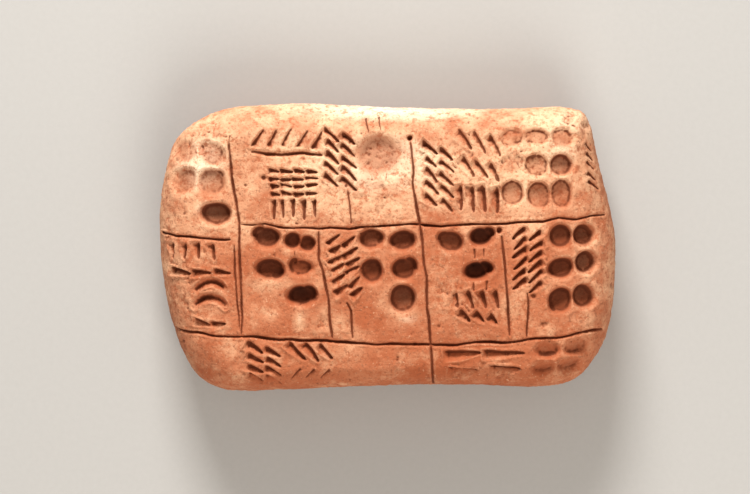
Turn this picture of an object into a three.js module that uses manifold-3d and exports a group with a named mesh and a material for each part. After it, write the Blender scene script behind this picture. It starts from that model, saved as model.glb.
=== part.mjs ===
// A hand-moulded clay tablet, lying on its back with the marked face up.
// Millimetres. +X runs along the rows of marks, +Y towards the top edge, +Z up out of the face.
// The origin is under the middle of the tablet, on the surface that it rests on.

import * as THREE from "three";
import { mergeVertices } from "three/addons/utils/BufferGeometryUtils.js";
import Module from "manifold-3d";

const wasm = await Module();
wasm.setup();

// Overall size
const LENGTH = 91;
const WIDTH = 57.2;
const THICKNESS = 21;

// Moulded form
const EDGE_SHARE = 0.5; // height of the widest outline, as a share of the thickness
const FACE_CROWN = 2; // swell of the face between its rounded edges and its middle
const BACK_SWELL = 3; // swell of the back between its rounded edges and its flat spot
const END_SHOULDER = 8.5; // width of the face's rounding at the left and right ends
const TOP_SHOULDER = 6;
const BOTTOM_SHOULDER = 4.5;
const BACK_SHOULDER = 11; // width of the rounding all round the back
const FOOT_SHARE = 0.42; // the flat spot under the back, as a share of the outline

// Marks, pressed in with a pointed reed and a round stylus
const RULING_WIDTH = 0.75;
const RULING_DEPTH = 0.55;
const STROKE_WIDTH = 1.05;
const STROKE_DEPTH = 0.85;
const FINE_STROKE_WIDTH = 0.75;
const FINE_STROKE_DEPTH = 0.55;
const BROAD_STROKE_WIDTH = 1.7;
const BROAD_STROKE_DEPTH = 1;
const STYLUS_RADIUS = 2; // of the round stylus
const PRESS_DEPTH = 2.1; // a hard press of it
const LIGHT_PRESS_DEPTH = 1.1;
const SCOOP_DEPTH = 0.9; // a press that only grazes the clay

// Fineness of the solid
const OUTLINE_STEPS = 64;
const SHOULDER_STEPS = 4;
const INNER_STEPS = 2;
const PRESS_SIDES = 11;
const REACH_SAMPLES = 720;
const SECTION_SPACING = 4.4; // along a drawn line
const DRAPE_STEPS = 60; // in which a drawn line is laid over the face
const SLOPE_STEP = 0.2; // distance over which the slope of the face is measured
const CLEARANCE = 0.8; // how far each cutting shape stands out of the clay

// The hand-shaped outline, anticlockwise from the middle of the right end. It is drawn on a layout of
// squares that is centred on the tablet, and the marks further down are placed on the same squares.
const OUTLINE = [
  [45.6, 0], [44.4, 7], [42.1, 17], [40.7, 23.4], [39.2, 26.7], [35.6, 27.8], [22, 27.6],
  [0, 28.1], [-20, 28.6], [-31, 28], [-37, 26], [-41.4, 22.6], [-43.7, 17.4], [-45.3, 6],
  [-44.9, -4.4], [-43, -14.4], [-40.4, -21.6], [-37.4, -26.2], [-33.2, -28.3], [-22, -28.6],
  [-8, -27.9], [18, -27.7], [31, -27.9], [37.6, -26.3], [41.6, -22.2], [44.3, -15.2],
];

const outline = new THREE.CatmullRomCurve3(
  OUTLINE.map(([x, y]) => new THREE.Vector3(x, y, 0)),
  true,
  "centripetal",
);
const edgeSquares = outline.getSpacedPoints(OUTLINE_STEPS).slice(0, OUTLINE_STEPS);
const layout = new THREE.Box3().setFromPoints(edgeSquares);
const layoutSize = layout.getSize(new THREE.Vector3());
const layoutMiddle = layout.getCenter(new THREE.Vector3());

// Millimetres of a place on the layout, which is stretched to the tablet's length and width
function millimetres(x, y) {
  return new THREE.Vector3(
    (x - layoutMiddle.x) * (LENGTH / layoutSize.x),
    (y - layoutMiddle.y) * (WIDTH / layoutSize.y),
    0,
  );
}

const edge = edgeSquares.map((p) => millimetres(p.x, p.y));

// The outline's distance from the middle in each direction, for looking up points between
const reachTable = outline
  .getPoints(REACH_SAMPLES)
  .slice(0, REACH_SAMPLES)
  .map((p) => millimetres(p.x, p.y))
  .map((p) => ({ angle: Math.atan2(p.y, p.x), reach: Math.hypot(p.x, p.y) }))
  .sort((a, b) => a.angle - b.angle);

function reachAt(angle) {
  let after = reachTable.findIndex((entry) => entry.angle > angle);
  if (after < 0) after = 0;
  const before = (after + reachTable.length - 1) % reachTable.length;
  const fullTurn = 2 * Math.PI;
  const gap = (reachTable[after].angle - reachTable[before].angle + fullTurn) % fullTurn;
  const past = (angle - reachTable[before].angle + fullTurn) % fullTurn;
  return THREE.MathUtils.lerp(reachTable[before].reach, reachTable[after].reach, past / gap);
}

const edgeHeight = THICKNESS * EDGE_SHARE;

// Width of the face's rounding in each direction
function faceShoulder(angle) {
  const side = Math.sin(angle) > 0 ? TOP_SHOULDER : BOTTOM_SHOULDER;
  return THREE.MathUtils.lerp(END_SHOULDER, side, Math.sin(angle) ** 2);
}

// A quarter round: 0 at the outline, 1 where the rounding ends
function quarterRound(share) {
  return Math.sqrt(1 - (1 - Math.min(1, share)) ** 2);
}

// Height of the face, given the inset from the outline and the outline's reach that way
function faceHeightAt(inset, reach, angle) {
  const fromMiddle = 1 - inset / reach;
  const shoulderRise = THICKNESS - edgeHeight - FACE_CROWN;
  return (
    edgeHeight +
    shoulderRise * quarterRound(inset / faceShoulder(angle)) +
    FACE_CROWN * (1 - fromMiddle ** 2)
  );
}

// Height of the back, which falls to its flat spot
function backHeightAt(inset, reach) {
  const fromMiddle = 1 - inset / reach;
  const fall = Math.min(1, (1 - fromMiddle ** 2) / (1 - FOOT_SHARE ** 2));
  return edgeHeight - (edgeHeight - BACK_SWELL) * quarterRound(inset / BACK_SHOULDER) - BACK_SWELL * fall;
}

function faceHeight(x, y) {
  const angle = Math.atan2(y, x);
  const reach = reachAt(angle);
  const inset = Math.max(0, reach - Math.hypot(x, y));
  return faceHeightAt(inset, reach, angle);
}

// The point on the face over a place in millimetres
function raised(place) {
  return new THREE.Vector3(place.x, place.y, faceHeight(place.x, place.y));
}

function faceNormal({ x, y }) {
  const riseX = faceHeight(x + SLOPE_STEP, y) - faceHeight(x - SLOPE_STEP, y);
  const riseY = faceHeight(x, y + SLOPE_STEP) - faceHeight(x, y - SLOPE_STEP);
  return new THREE.Vector3(-riseX, -riseY, 2 * SLOPE_STEP).normalize();
}

// A geometry from closed rings of points, with a pole that closes each end
function loft(rings, firstPole, lastPole) {
  const count = rings[0].length;
  const points = [firstPole, ...rings.flat(), lastPole];
  const faces = [];
  const at = (ring, i) => 1 + ring * count + (i % count);
  for (let i = 0; i < count; i++) {
    faces.push(0, at(0, i), at(0, i + 1));
    for (let ring = 0; ring + 1 < rings.length; ring++) {
      faces.push(at(ring, i), at(ring + 1, i), at(ring + 1, i + 1));
      faces.push(at(ring, i), at(ring + 1, i + 1), at(ring, i + 1));
    }
    faces.push(at(rings.length - 1, i), points.length - 1, at(rings.length - 1, i + 1));
  }
  return new THREE.BufferGeometry().setFromPoints(points).setIndex(faces);
}

// The moulded tablet before it is marked: rings from the middle of the face over the edge to the foot
function bodyGeometry() {
  const ring = (insetOf, heightOf) =>
    edge.map((p) => {
      const reach = Math.hypot(p.x, p.y);
      const angle = Math.atan2(p.y, p.x);
      const inset = insetOf(reach, angle);
      const share = 1 - inset / reach;
      return new THREE.Vector3(p.x * share, p.y * share, heightOf(inset, reach, angle));
    });
  const roundingShare = (i) => 1 - Math.cos((i / SHOULDER_STEPS) * (Math.PI / 2));
  const rings = [];
  for (let i = 1; i <= INNER_STEPS; i++) {
    const share = i / (INNER_STEPS + 1);
    rings.push(ring((reach, angle) => reach - share * (reach - faceShoulder(angle)), faceHeightAt));
  }
  for (let i = SHOULDER_STEPS; i >= 0; i--) {
    rings.push(ring((reach, angle) => faceShoulder(angle) * roundingShare(i), faceHeightAt));
  }
  for (let i = 1; i <= SHOULDER_STEPS; i++) {
    rings.push(ring(() => BACK_SHOULDER * roundingShare(i), backHeightAt));
  }
  rings.push(ring((reach) => reach * (1 - FOOT_SHARE), () => 0));
  return loft(rings, new THREE.Vector3(0, 0, THICKNESS), new THREE.Vector3(0, 0, 0));
}

// A hollow with straight sides, from a rim on the face down to one deepest point
function hollow(rim, deepest, depth) {
  const bottom = deepest.clone().addScaledVector(faceNormal(deepest), -depth);
  const grow = (depth + CLEARANCE) / depth;
  const lifted = rim.map((p) => bottom.clone().lerp(p, grow));
  const middle = lifted.reduce((sum, p) => sum.add(p), new THREE.Vector3()).divideScalar(lifted.length);
  return loft([lifted], middle, bottom);
}

// One stroke of the reed: a broad deep head that runs out to a point
function stroke(headX, headY, tailX, tailY, width = STROKE_WIDTH, depth = STROKE_DEPTH) {
  const head = millimetres(headX, headY);
  const tail = millimetres(tailX, tailY);
  const along = tail.clone().sub(head).normalize();
  const across = new THREE.Vector3(-along.y, along.x, 0);
  const rim = [
    raised(head.clone().addScaledVector(across, width / 2)),
    raised(head.clone().addScaledVector(across, -width / 2)),
    raised(tail),
  ];
  return hollow(rim, raised(head.addScaledVector(along, width / 2)), depth);
}

// A drawn line: a V groove through points of the layout that is shallow at both ends
function groove(points, width = RULING_WIDTH, depth = RULING_DEPTH) {
  const endShare = 0.3;
  const plan = new THREE.CatmullRomCurve3(points.map(([x, y]) => millimetres(x, y)), false, "centripetal");
  const line = new THREE.CatmullRomCurve3(plan.getSpacedPoints(DRAPE_STEPS).map(raised));
  const spans = Math.max(points.length - 1, Math.ceil(line.getLength() / SECTION_SPACING));
  const sections = Array.from({ length: spans + 1 }, (_, i) => {
    const share = i === 0 || i === spans ? endShare : 1;
    const place = line.getPointAt(i / spans);
    const up = faceNormal(place);
    const across = new THREE.Vector3().crossVectors(up, line.getTangentAt(i / spans)).normalize();
    const half = (width / 2) * ((depth * share + CLEARANCE) / depth);
    const top = place.clone().addScaledVector(up, CLEARANCE);
    return [
      top.clone().addScaledVector(across, half),
      place.clone().addScaledVector(up, -depth * share),
      top.clone().addScaledVector(across, -half),
    ];
  });
  const middleOf = (section) => section[0].clone().add(section[1]).add(section[2]).divideScalar(3);
  return loft(sections, middleOf(sections[0]), middleOf(sections[sections.length - 1]));
}

// One press of the round stylus: a steep wall and a nearly flat floor. A slanting press is an oval.
function press(x, y, wide, high, depth) {
  const wall = [[0, -1], [0.62, -0.9], [0.9, -0.5], [1, 0]];
  const mouth = 1.04;
  const profile = wall.map(([out, down]) => new THREE.Vector2(out, down * depth));
  profile.push(new THREE.Vector2(mouth, 2 * CLEARANCE), new THREE.Vector2(0, 2 * CLEARANCE));
  const place = raised(millimetres(x, y));
  const tilt = new THREE.Quaternion().setFromUnitVectors(new THREE.Vector3(0, 0, 1), faceNormal(place));
  return new THREE.LatheGeometry(profile, PRESS_SIDES)
    .rotateX(Math.PI / 2)
    .scale(wide * STYLUS_RADIUS, high * STYLUS_RADIUS, 1)
    .applyQuaternion(tilt)
    .translate(place.x, place.y, place.z);
}

// A row of presses at one height, as many stylus radii wide and high
function pressRow(y, places, wide, high, depth = PRESS_DEPTH) {
  return places.map((x) => press(x, y, wide, high, depth));
}

// A row of strokes side by side, each running by the same amount from its head
function comb({ x, y, count, pitch, run, step = 0, width, depth }) {
  return Array.from({ length: count }, (_, i) => {
    const headX = x + pitch * i;
    const headY = y + step * i;
    return stroke(headX, headY, headX + run[0], headY + run[1], width, depth);
  });
}

// Two columns of strokes that all slant the same way, the second column a little lower
function slantedColumns({ x, y, apart, rows, pitch, run, lean = 0 }) {
  const secondDrop = 0.4 * pitch;
  return Array.from({ length: rows }, (_, row) => {
    const headX = x + lean * row;
    const headY = y - pitch * row;
    const first = stroke(headX, headY, headX + run[0], headY + run[1]);
    const second = stroke(
      headX + apart,
      headY - secondDrop,
      headX + apart + run[0],
      headY - secondDrop + run[1],
    );
    return [first, second];
  }).flat();
}

// A curved stroke along part of a circle, between two angles in degrees
function arc(x, y, radius, from, to, width, depth) {
  const steps = 5;
  const points = Array.from({ length: steps + 1 }, (_, i) => {
    const angle = THREE.MathUtils.degToRad(THREE.MathUtils.lerp(from, to, i / steps));
    return [x + radius * Math.cos(angle), y + radius * Math.sin(angle)];
  });
  return groove(points, width, depth);
}

// The lines that divide the face into cases
function rulings() {
  const upperRow = [
    [-28.8, 5.4], [-24, 5.6], [-19.4, 4.7], [-13.5, 4.6], [-7, 5.3], [7, 5.2], [16, 5.1],
    [25, 5.5], [33, 6.4], [42.4, 7],
  ];
  const lowerRow = [
    [-41.8, -16.1], [-34.4, -16.8], [-25, -17.3], [-6, -18.2], [8.4, -18.6], [17.4, -18.2],
    [27.8, -17.9], [36, -16.9], [42.4, -15.6],
  ];
  const leftRow = [[-43.4, 2.8], [-38.4, 2.4], [-31.2, 2.3]];
  const leftColumn = [
    [-31.2, 23], [-31, 18], [-30.3, 11], [-29.4, 5.8], [-29.2, -2], [-28.8, -10], [-28.7, -17.2],
  ];
  const middleColumn = [
    [4.6, 22.6], [5, 16.6], [5, 12.4], [6.5, 5.2], [7.3, -4], [8.4, -17.6], [8.9, -24], [9.2, -27],
  ];
  const innerLeft = [[-13.6, 4.4], [-13.4, -2], [-12.2, -7], [-10.8, -17.6]];
  const innerRight = [[22.2, 4.6], [23, -2.4], [23.7, -10], [24.3, -17.4]];
  return [upperRow, lowerRow, leftRow, leftColumn, middleColumn, innerLeft, innerRight].map((line) =>
    groove(line),
  );
}

// The round marks, case by case from the top left
function roundMarks() {
  return [
    ...pressRow(19.3, [-39.5, -34.8], 1.05, 1, LIGHT_PRESS_DEPTH),
    ...pressRow(13.3, [-40, -34.8], 1.15, 1.2, LIGHT_PRESS_DEPTH),
    ...pressRow(7.2, [-34], 1.45, 1.05),
    ...pressRow(18.8, [-1.8], 1.95, 1.6, SCOOP_DEPTH),
    ...pressRow(22.3, [24.6, 29.4, 34.7], 1.1, 0.85, LIGHT_PRESS_DEPTH),
    ...pressRow(17, [25, 29.4, 34.6], 1.1, 0.95, LIGHT_PRESS_DEPTH),
    ...pressRow(11.1, [24.6, 30, 34.4], 1.05, 1.15, LIGHT_PRESS_DEPTH),
    ...pressRow(2.6, [-24, -17.2], 1.4, 0.95),
    ...pressRow(-3.5, [-23.4, -17], 1.3, 0.9),
    ...pressRow(-9.1, [-17.2], 1.5, 0.9),
    ...pressRow(2.2, [-3.2, 2.8], 1.2, 0.9),
    ...pressRow(-3.9, [-3, 3.4], 1.05, 1),
    ...pressRow(-9.5, [3], 1.25, 1.25),
    ...pressRow(2.3, [12.4, 18.5], 1.25, 0.85),
    ...pressRow(-4, [17.5], 1.25, 0.85),
    ...pressRow(3, [34.4, 39.1], 1, 0.95),
    ...pressRow(-3, [34.6, 39.5], 1.15, 0.9),
    ...pressRow(-9.7, [34.4, 39.1], 1.05, 1),
    ...pressRow(-18.9, [32, 37.9], 1.25, 0.85, SCOOP_DEPTH),
    ...pressRow(-23.1, [31, 36.8], 1.25, 0.85, SCOOP_DEPTH),
  ];
}

// The reed strokes of the upper row of cases: plain rows that spell nothing
function upperStrokes() {
  const fine = { width: FINE_STROKE_WIDTH, depth: FINE_STROKE_DEPTH };
  const broad = { width: BROAD_STROKE_WIDTH, depth: BROAD_STROKE_DEPTH };
  const latticeRows = [15.6, 14.1, 12.6, 11.1];
  return [
    ...latticeRows.flatMap((y) => comb({ x: -23, y, count: 4, pitch: 2.3, run: [2, 0], ...fine })),
    ...comb({ x: -22.8, y: 9.8, count: 5, pitch: 2, run: [0.2, -3.4], ...fine }),
    ...comb({ x: -26, y: 20.2, count: 5, pitch: 2.9, run: [1.6, 3.6], ...fine }),
    groove([[-26.6, 19.4], [-22, 18.8], [-17.6, 19.2], [-13.2, 18.9]], STROKE_WIDTH, STROKE_DEPTH),
    ...slantedColumns({ x: -12.4, y: 23.6, apart: 3.3, rows: 5, pitch: 2.2, run: [2.9, -2.3] }),
    ...comb({ x: -4.3, y: 26, count: 2, pitch: 2.4, run: [0.3, -3.4], ...fine }),
    ...comb({ x: -3.4, y: 15.2, count: 2, pitch: 2.6, run: [0, -1.6] }),
    ...slantedColumns({ x: 7.4, y: 20.4, apart: 3, rows: 5, pitch: 2.5, run: [2.7, -2] }),
    ...comb({ x: 13.4, y: 23, count: 3, pitch: 3.2, step: -1, run: [2.8, -4.2] }),
    ...comb({ x: 17.6, y: 16.6, count: 3, pitch: 2, step: -1.6, run: [-2.6, -2.2] }),
    ...comb({ x: 12.4, y: 11.2, count: 4, pitch: 2.6, run: [1.2, -4.2], ...broad }),
    ...comb({ x: 38.9, y: 21, count: 5, pitch: 0.25, step: -1.9, run: [1.7, -1.6] }),
  ];
}

// The reed strokes of the middle row of cases
function middleStrokes() {
  const broad = { width: BROAD_STROKE_WIDTH, depth: BROAD_STROKE_DEPTH };
  return [
    ...comb({ x: -43, y: 0.8, count: 4, pitch: 2.6, run: [0.4, -2.8] }),
    ...comb({ x: -42.6, y: -4.4, count: 3, pitch: 4.2, run: [3.4, -0.3] }),
    ...[-11.4, -8.6].map((y) => arc(-35.4, y, 3.6, 150, 30, STROKE_WIDTH, STROKE_DEPTH)),
    ...comb({ x: -38.2, y: -13.6, count: 2, pitch: 3.4, run: [2.8, -0.4], ...broad }),
    ...slantedColumns({ x: -11.7, y: 1.6, apart: 2.9, rows: 6, pitch: 2, run: [2.5, 1.9], lean: 0.3 }),
    ...comb({ x: 13, y: -8.6, count: 4, pitch: 2.6, run: [1, -3] }),
    ...comb({ x: 14.2, y: -12.6, count: 3, pitch: 2.8, step: -0.3, run: [2, -1.6] }),
    ...slantedColumns({ x: 27.4, y: 4.2, apart: 3.2, rows: 6, pitch: 2, run: [-2.7, -2] }),
  ];
}

// The reed strokes of the lower row of cases
function lowerStrokes() {
  const fine = { width: FINE_STROKE_WIDTH, depth: FINE_STROKE_DEPTH };
  const broad = { width: BROAD_STROKE_WIDTH, depth: BROAD_STROKE_DEPTH };
  return [
    ...slantedColumns({ x: -27.6, y: -19, apart: 3.6, rows: 4, pitch: 2, run: [3, -1.5] }),
    ...comb({ x: -19.4, y: -19, count: 3, pitch: 2.9, run: [2.8, -3] }),
    ...comb({ x: -17.4, y: -24, count: 3, pitch: 2.9, run: [-2, -2], ...fine }),
    ...comb({ x: 11.4, y: -21, count: 2, pitch: 8.4, run: [7.2, 0.3], ...broad }),
    ...comb({ x: 12.4, y: -24.2, count: 2, pitch: 8.4, run: [5.6, 0.3], ...broad }),
  ];
}

// A closed geometry as a solid that can be cut
function solidOf(geometry) {
  const bare = geometry.clone();
  bare.deleteAttribute("normal");
  bare.deleteAttribute("uv");
  const merged = mergeVertices(bare, 1e-4);
  return new wasm.Manifold(
    new wasm.Mesh({
      numProp: 3,
      vertProperties: merged.getAttribute("position").array,
      triVerts: new Uint32Array(merged.index.array),
    }),
  );
}

// A cut solid as a geometry again
function geometryOf(solid) {
  const { vertProperties, triVerts } = solid.getMesh();
  const geometry = new THREE.BufferGeometry();
  geometry.setAttribute("position", new THREE.BufferAttribute(vertProperties, 3));
  geometry.setIndex(new THREE.BufferAttribute(triVerts, 1));
  geometry.computeVertexNormals();
  return geometry;
}

// The tablet with every mark cut out of it, in one piece of clay
function tablet() {
  const marks = [
    ...rulings(),
    ...roundMarks(),
    ...upperStrokes(),
    ...middleStrokes(),
    ...lowerStrokes(),
  ];
  const marked = marks.reduce((clay, mark) => clay.subtract(solidOf(mark)), solidOf(bodyGeometry()));
  const driedClay = new THREE.MeshStandardMaterial({ color: 0xd49a72, roughness: 0.9, metalness: 0 });
  const mesh = new THREE.Mesh(geometryOf(marked), driedClay);
  mesh.name = "clay_tablet";
  return mesh;
}

const root = new THREE.Group();
root.add(tablet());

export default root;
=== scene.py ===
"""A hand-moulded clay tablet with ruled cases, round marks and rows of reed strokes.

Sizes are in millimetres, measured from the middle of the tablet, and become metres where a mesh is
made. +X runs along the rows of marks, +Y towards the top edge, and +Z up out of the marked face.
"""

import logging
import math
from dataclasses import dataclass, field
from enum import Enum, IntEnum
from itertools import product

import bpy
import numpy as np
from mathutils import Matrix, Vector


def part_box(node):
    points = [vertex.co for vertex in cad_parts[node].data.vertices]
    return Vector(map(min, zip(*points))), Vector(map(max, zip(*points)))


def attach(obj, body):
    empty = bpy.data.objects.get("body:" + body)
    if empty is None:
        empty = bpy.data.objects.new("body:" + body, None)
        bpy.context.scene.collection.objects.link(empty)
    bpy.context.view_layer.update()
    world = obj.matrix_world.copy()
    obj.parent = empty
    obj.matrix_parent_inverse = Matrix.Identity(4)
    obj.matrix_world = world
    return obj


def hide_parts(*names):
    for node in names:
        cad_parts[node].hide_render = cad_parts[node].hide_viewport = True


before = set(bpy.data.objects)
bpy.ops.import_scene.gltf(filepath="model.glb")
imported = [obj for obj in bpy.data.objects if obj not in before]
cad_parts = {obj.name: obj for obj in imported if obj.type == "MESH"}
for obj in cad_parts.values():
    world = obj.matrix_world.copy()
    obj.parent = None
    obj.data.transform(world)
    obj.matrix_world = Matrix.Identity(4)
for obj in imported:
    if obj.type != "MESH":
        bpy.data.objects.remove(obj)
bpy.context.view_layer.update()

NODE = "clay_tablet"
MM = 0.001
PHOTO_WIDTH = 750
PHOTO_HEIGHT = 494

Array = np.ndarray
Place = tuple[float, float]
Point = tuple[float, float, float]
Colour = tuple[float, float, float, float]
Socket = bpy.types.NodeSocket
Source = Socket | float | Colour

# A mix node gives its sockets for colours the same names as those for values, so they go by number
MIX_LOWER, MIX_UPPER, MIX_RESULT = 6, 7, 2

logging.basicConfig(level=logging.INFO, format="%(message)s")
log = logging.getLogger("tablet")


class Seed(IntEnum):
    """Where each random pattern of the clay starts from."""

    HAND = 7
    SWELLS = 11
    LUMPS = 12
    TOOTH = 13
    SWAY_ALONG = 21
    SWAY_UP = 22
    PRESSURE = 23
    RUBBED = 24
    FLAKES = 25
    BURR = 26
    PITS = 31


def paint(red: int, green: int, blue: int) -> Colour:
    """Turn a paint chart's 0 to 255 values into the linear colour that a shader takes."""
    channels = (value / 255 for value in (red, green, blue))
    return (*(c / 12.92 if c <= 0.04045 else ((c + 0.055) / 1.055) ** 2.4 for c in channels), 1.0)


def ease(values: Array) -> Array:
    """Clip to 0..1 and bend into an S: three times the square less twice the cube."""
    share = np.clip(values, 0.0, 1.0)
    return share * share * (3.0 - 2.0 * share)


def bell(values: Array, width: float) -> Array:
    """A rounded hump: e to the minus square of the values over the width."""
    return np.exp(-((values / width) ** 2))


@dataclass
class ClayNoise:
    """Smooth lumps that never repeat over the tablet, the same in each run for one seed.

    Cells is the number of random slopes, a power of two. Gain brings the waves up to about 1, and
    layer shift moves each layer's pattern away from the one before.
    """

    seed: int
    cells: int = 256
    gain: float = 1.5
    layer_shift: float = 37.0
    order: Array = field(init=False)
    slopes: Array = field(init=False)

    def __post_init__(self) -> None:
        """Shuffle the order of the lattice and draw its random slopes."""
        random = np.random.default_rng(self.seed)
        self.order = random.permutation(self.cells)
        slopes = random.normal(size=(self.cells, 3))
        self.slopes = (slopes / np.linalg.norm(slopes, axis=1, keepdims=True)).astype(np.float32)

    def wave(self, points: Array, size: float) -> Array:
        """One layer: random slopes at the corners of cubes, blended by a smooth step inside each.

        Args:
            points: places, with three columns.
            size: width of a cube in millimetres.

        Returns:
            Values between about -1 and 1, one for each place.
        """
        scaled = points / size
        base = np.floor(scaled).astype(np.int64)
        inside = (scaled - base).astype(np.float32)
        blend = inside**3 * (inside * (inside * 6 - 15) + 10)
        total = np.zeros(len(points), dtype=np.float32)
        for corner in product((0, 1), repeat=3):
            key = 0
            for axis in range(3):
                key = self.order[(key + base[:, axis] + corner[axis]) & (self.cells - 1)]
            rise = np.einsum("ij,ij->i", inside - np.array(corner, dtype=np.float32), self.slopes[key])
            sides = [blend[:, axis] if corner[axis] else 1 - blend[:, axis] for axis in range(3)]
            total += rise * sides[0] * sides[1] * sides[2]
        return total * self.gain

    def lumps(self, points: Array, size: float, layers: int, fade: float = 0.5) -> Array:
        """Several layers, each half the size of the one before and weaker by the fade.

        Args:
            points: places, with three columns.
            size: size of the largest lumps.
            layers: number of layers.
            fade: strength of each layer, as a share of the one before.

        Returns:
            Values between about -1 and 1, one for each place.
        """
        total = np.zeros(len(points), dtype=np.float32)
        strength = 1.0
        whole = 0.0
        for layer in range(layers):
            total += strength * self.wave(points + self.layer_shift * layer, size / 2**layer)
            whole += strength
            strength *= fade
        return total / whole


@dataclass
class TabletForm:
    """The moulded lump of clay before it is marked, with the sizes of the construction."""

    length: float
    width: float
    thickness: float
    edge_share: float = 0.5
    face_crown: float = 2.0
    back_swell: float = 3.0
    end_shoulder: float = 8.5
    top_shoulder: float = 6.0
    bottom_shoulder: float = 4.5
    back_shoulder: float = 11.0
    foot_share: float = 0.42
    outline: tuple[Place, ...] = (
        (45.6, 0), (44.4, 7), (42.1, 17), (40.7, 23.4), (39.2, 26.7), (35.6, 27.8), (22, 27.6),
        (0, 28.1), (-20, 28.6), (-31, 28), (-37, 26), (-41.4, 22.6), (-43.7, 17.4), (-45.3, 6),
        (-44.9, -4.4), (-43, -14.4), (-40.4, -21.6), (-37.4, -26.2), (-33.2, -28.3), (-22, -28.6),
        (-8, -27.9), (18, -27.7), (31, -27.9), (37.6, -26.3), (41.6, -22.2), (44.3, -15.2),
    )
    angles: Array = field(init=False)
    reaches: Array = field(init=False)

    def __post_init__(self) -> None:
        """Trace the outline once and keep its reach in every direction."""
        curve = self.smooth_outline(samples=60)
        low, high = curve.min(axis=0), curve.max(axis=0)
        stretch = np.array([self.length, self.width]) / (high - low)
        curve = (curve - (low + high) / 2) * stretch
        angles = np.arctan2(curve[:, 1], curve[:, 0])
        order = np.argsort(angles)
        self.angles = angles[order]
        self.reaches = np.hypot(curve[:, 0], curve[:, 1])[order]

    def smooth_outline(self, samples: int) -> Array:
        """A closed curve through the outline's points, a cubic between each two.

        The slope at each point weighs its neighbours by the square root of their distance.

        Args:
            samples: places worked out between each two points.

        Returns:
            The curve's places, with two columns.
        """
        points = np.array(self.outline, dtype=float)
        before, after, beyond = (np.roll(points, shift, axis=0) for shift in (1, -1, -2))
        gap_0 = np.linalg.norm(points - before, axis=1, keepdims=True) ** 0.5
        gap_1 = np.linalg.norm(after - points, axis=1, keepdims=True) ** 0.5
        gap_2 = np.linalg.norm(beyond - after, axis=1, keepdims=True) ** 0.5
        start = (points - before) / gap_0 - (after - before) / (gap_0 + gap_1) + (after - points) / gap_1
        end = (after - points) / gap_1 - (beyond - points) / (gap_1 + gap_2) + (beyond - after) / gap_2
        start, end = start * gap_1, end * gap_1
        t = np.linspace(0, 1, samples, endpoint=False).reshape(1, -1, 1)
        bend_2 = (-3 * points + 3 * after - 2 * start - end)[:, None]
        bend_3 = (2 * points - 2 * after + start + end)[:, None]
        curve = points[:, None] + start[:, None] * t + bend_2 * t**2 + bend_3 * t**3
        return curve.reshape(-1, 2)

    def reach(self, angle: Array) -> Array:
        """Distance from the middle to the outline in each direction."""
        return np.interp(angle, self.angles, self.reaches, period=2 * math.pi)

    def face_shoulder(self, angle: Array) -> Array:
        """Width of the face's rounding: the ends' width blended into the sides' by the sine squared."""
        side = np.where(np.sin(angle) > 0, self.top_shoulder, self.bottom_shoulder)
        return self.end_shoulder + (side - self.end_shoulder) * np.sin(angle) ** 2

    def place(self, angle: Array, share: Array, height: Array) -> Array:
        """Places at some heights, each in a direction and at a share of the reach there."""
        across = share * self.reach(angle)
        return np.stack([across * np.cos(angle), across * np.sin(angle), height], axis=-1)

    def face(self, angle: Array, share: Array) -> Array:
        """The face by direction and share of the reach: a quarter round and a low crown.

        Args:
            angle: direction of each place from the middle.
            share: share of the reach of each place.

        Returns:
            Places, with three columns.
        """
        edge_height = self.thickness * self.edge_share
        rounding = np.minimum(1, (1 - share) * self.reach(angle) / self.face_shoulder(angle))
        rise = (self.thickness - edge_height - self.face_crown) * np.sqrt(1 - (1 - rounding) ** 2)
        height = edge_height + rise + self.face_crown * (1 - share**2)
        return self.place(angle, share, height)

    def back(self, angle: Array, share: Array) -> Array:
        """The back by direction and share: a wide quarter round that swells to a flat spot.

        Args:
            angle: direction of each place from the middle.
            share: share of the reach of each place.

        Returns:
            Places, with three columns.
        """
        edge_height = self.thickness * self.edge_share
        rounding = np.minimum(1, (1 - share) * self.reach(angle) / self.back_shoulder)
        fall = np.minimum(1, (1 - share**2) / (1 - self.foot_share**2))
        height = edge_height - (edge_height - self.back_swell) * np.sqrt(1 - (1 - rounding) ** 2)
        return self.place(angle, share, height - self.back_swell * fall)


class Sheet(Enum):
    """The two sheets of clay surface that meet at the widest outline."""

    FACE = "face"
    BACK = "back"


def facing(form: TabletForm, sheet: Sheet, angle: Array, share: Array) -> Array:
    """The outward direction: across the steps along the outline and towards it.

    Args:
        form: the lump of clay.
        sheet: the side that is asked for.
        angle: direction of each place from the middle.
        share: share of the reach of each place.

    Returns:
        Unit directions, with three columns.
    """
    surface = form.face if sheet is Sheet.FACE else form.back
    small_turn, small_share = 1e-4, 1e-5
    around = surface(angle + small_turn, share) - surface(angle - small_turn, share)
    outward = surface(angle, np.minimum(share + small_share, 1))
    outward = outward - surface(angle, np.maximum(share - small_share, 0))
    normal = np.cross(outward, around)
    if sheet is Sheet.BACK:
        normal = -normal
    return normal / np.maximum(np.linalg.norm(normal, axis=-1, keepdims=True), 1e-12)


@dataclass(frozen=True)
class RoundMark:
    """One press of the round stylus.

    Turn is its slant in degrees, soft widens its wall, and lean makes its upper side the deeper one.
    """

    x: float
    y: float
    across: float
    up: float
    depth: float
    turn: float = 0.0
    soft: float = 0.0
    lean: float = 0.22


@dataclass(frozen=True)
class ReedStroke:
    """One touch of the reed, from its broad deep head to its tail."""

    head: Place
    tail: Place
    width: float = 1.5
    depth: float = 1.25


@dataclass(frozen=True)
class DrawnLine:
    """A line that the reed's point draws through some places."""

    points: tuple[Place, ...]
    width: float = 0.62
    depth: float = 0.55
    taper: float = 0.5


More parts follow.
